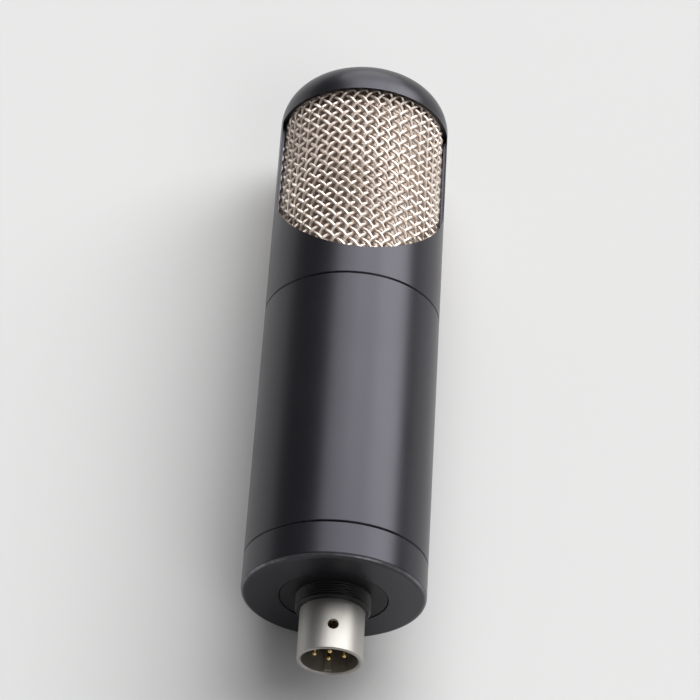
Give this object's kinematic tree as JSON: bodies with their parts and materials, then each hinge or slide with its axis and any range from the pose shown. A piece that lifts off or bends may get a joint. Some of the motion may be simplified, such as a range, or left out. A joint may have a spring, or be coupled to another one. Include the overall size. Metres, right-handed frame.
{
  "type": "valve condenser microphone",
  "caption": "Side-address valve microphone: domed black barrel with large windows over a woven grille, twin-diaphragm capsule, draw-off sleeve, base ring and multi-pin connector.",
  "frame": {"origin": "centre of the bounding box on the floor the microphone lies on", "axes": "+Y along the barrel from the connector to the head, +Z out of the front that is spoken into, the microphone lying on its back"},
  "size_m": [0.054, 0.2016, 0.054],
  "materials": {
    "satin_black": "satin black coat on metal",
    "plate_black": "black anodised",
    "black_steel": "blackened",
    "grille_wire": "pale nickel plate, satin",
    "gauze": "fine woven, dull",
    "plain_aluminium": "turned, satin",
    "plain_steel": "zinc plated",
    "capsule_brass": "fine turned",
    "gold_film": "gold sputtered film",
    "gold_plate": "gold plated",
    "black_plastic": "moulded",
    "mount_rubber": "matt",
    "red_insulation": "smooth",
    "blue_insulation": "smooth",
    "nickel": "satin nickel",
    "board_green": "solder mask",
    "capacitor_red": "moulded box",
    "capacitor_blue": "shrink sleeve",
    "resistor_blue": "lacquer",
    "ceramic": "glazed",
    "valve_glass": "clear",
    "anode_grey": "carbonised",
    "mica": "sheet",
    "core_steel": "stacked sheet",
    "bobbin_cream": "moulded",
    "copper_wire": "enamelled"
  },
  "bodies": {
    "chassis": {"head_shell": "satin_black", "grille_wires": "grille_wire", "grille_rims": "grille_wire", "inner_gauze": "gauze", "head_plate": "plain_aluminium", "head_screws": "black_steel", "capsule_backplate": "capsule_brass", "front_diaphragm": "gold_film", "rear_diaphragm": "gold_film", "front_clamp_ring": "capsule_brass", "rear_clamp_ring": "capsule_brass", "capsule_screws": "plain_steel", "capsule_terminals": "gold_plate", "capsule_saddle": "black_plastic", "capsule_mount": "mount_rubber", "capsule_leads": "red_insulation", "left_rail": "plain_aluminium", "right_rail": "plain_aluminium", "rail_screws": "plain_steel", "base_plate": "plate_black", "threaded_neck": "plate_black", "connector_shell": "nickel", "connector_insert": "black_plastic", "connector_pins": "gold_plate", "connector_leads": "blue_insulation", "circuit_board": "board_green", "board_screws": "plain_steel", "film_capacitors": "capacitor_red", "electrolytic_capacitors": "capacitor_blue", "resistors": "resistor_blue", "valve_shelf": "plain_aluminium", "shelf_screws": "plain_steel", "valve_socket": "ceramic", "socket_contacts": "gold_plate", "transformer_core": "core_steel", "transformer_bobbin": "bobbin_cream", "transformer_winding": "copper_wire", "transformer_strap": "plain_aluminium", "strap_screws": "plain_steel"},
    "sleeve": {"body_sleeve": "satin_black"},
    "ring": {"base_ring": "satin_black"},
    "valve": {"valve_envelope": "valve_glass", "valve_stem": "valve_glass", "valve_pins": "plain_steel", "valve_anodes": "anode_grey", "valve_micas": "mica", "valve_rods": "plain_steel", "valve_getter": "anode_grey"}
  },
  "joints": [
    {"name": "sleeve_slide", "type": "slide", "parent": "chassis", "child": "sleeve", "axis": [0, -1, 0], "range_m": [0, 0.08]},
    {"name": "base_ring_turn", "type": "hinge", "parent": "sleeve", "child": "ring", "pos_m": [0, -0.0753, 0.027], "axis": [0, -1, 0], "range_deg": [0, 1440]},
    {"name": "valve_pull", "type": "slide", "parent": "chassis", "child": "valve", "axis": [0, 1, 0], "range_m": [0, 0.012]}
  ]
}
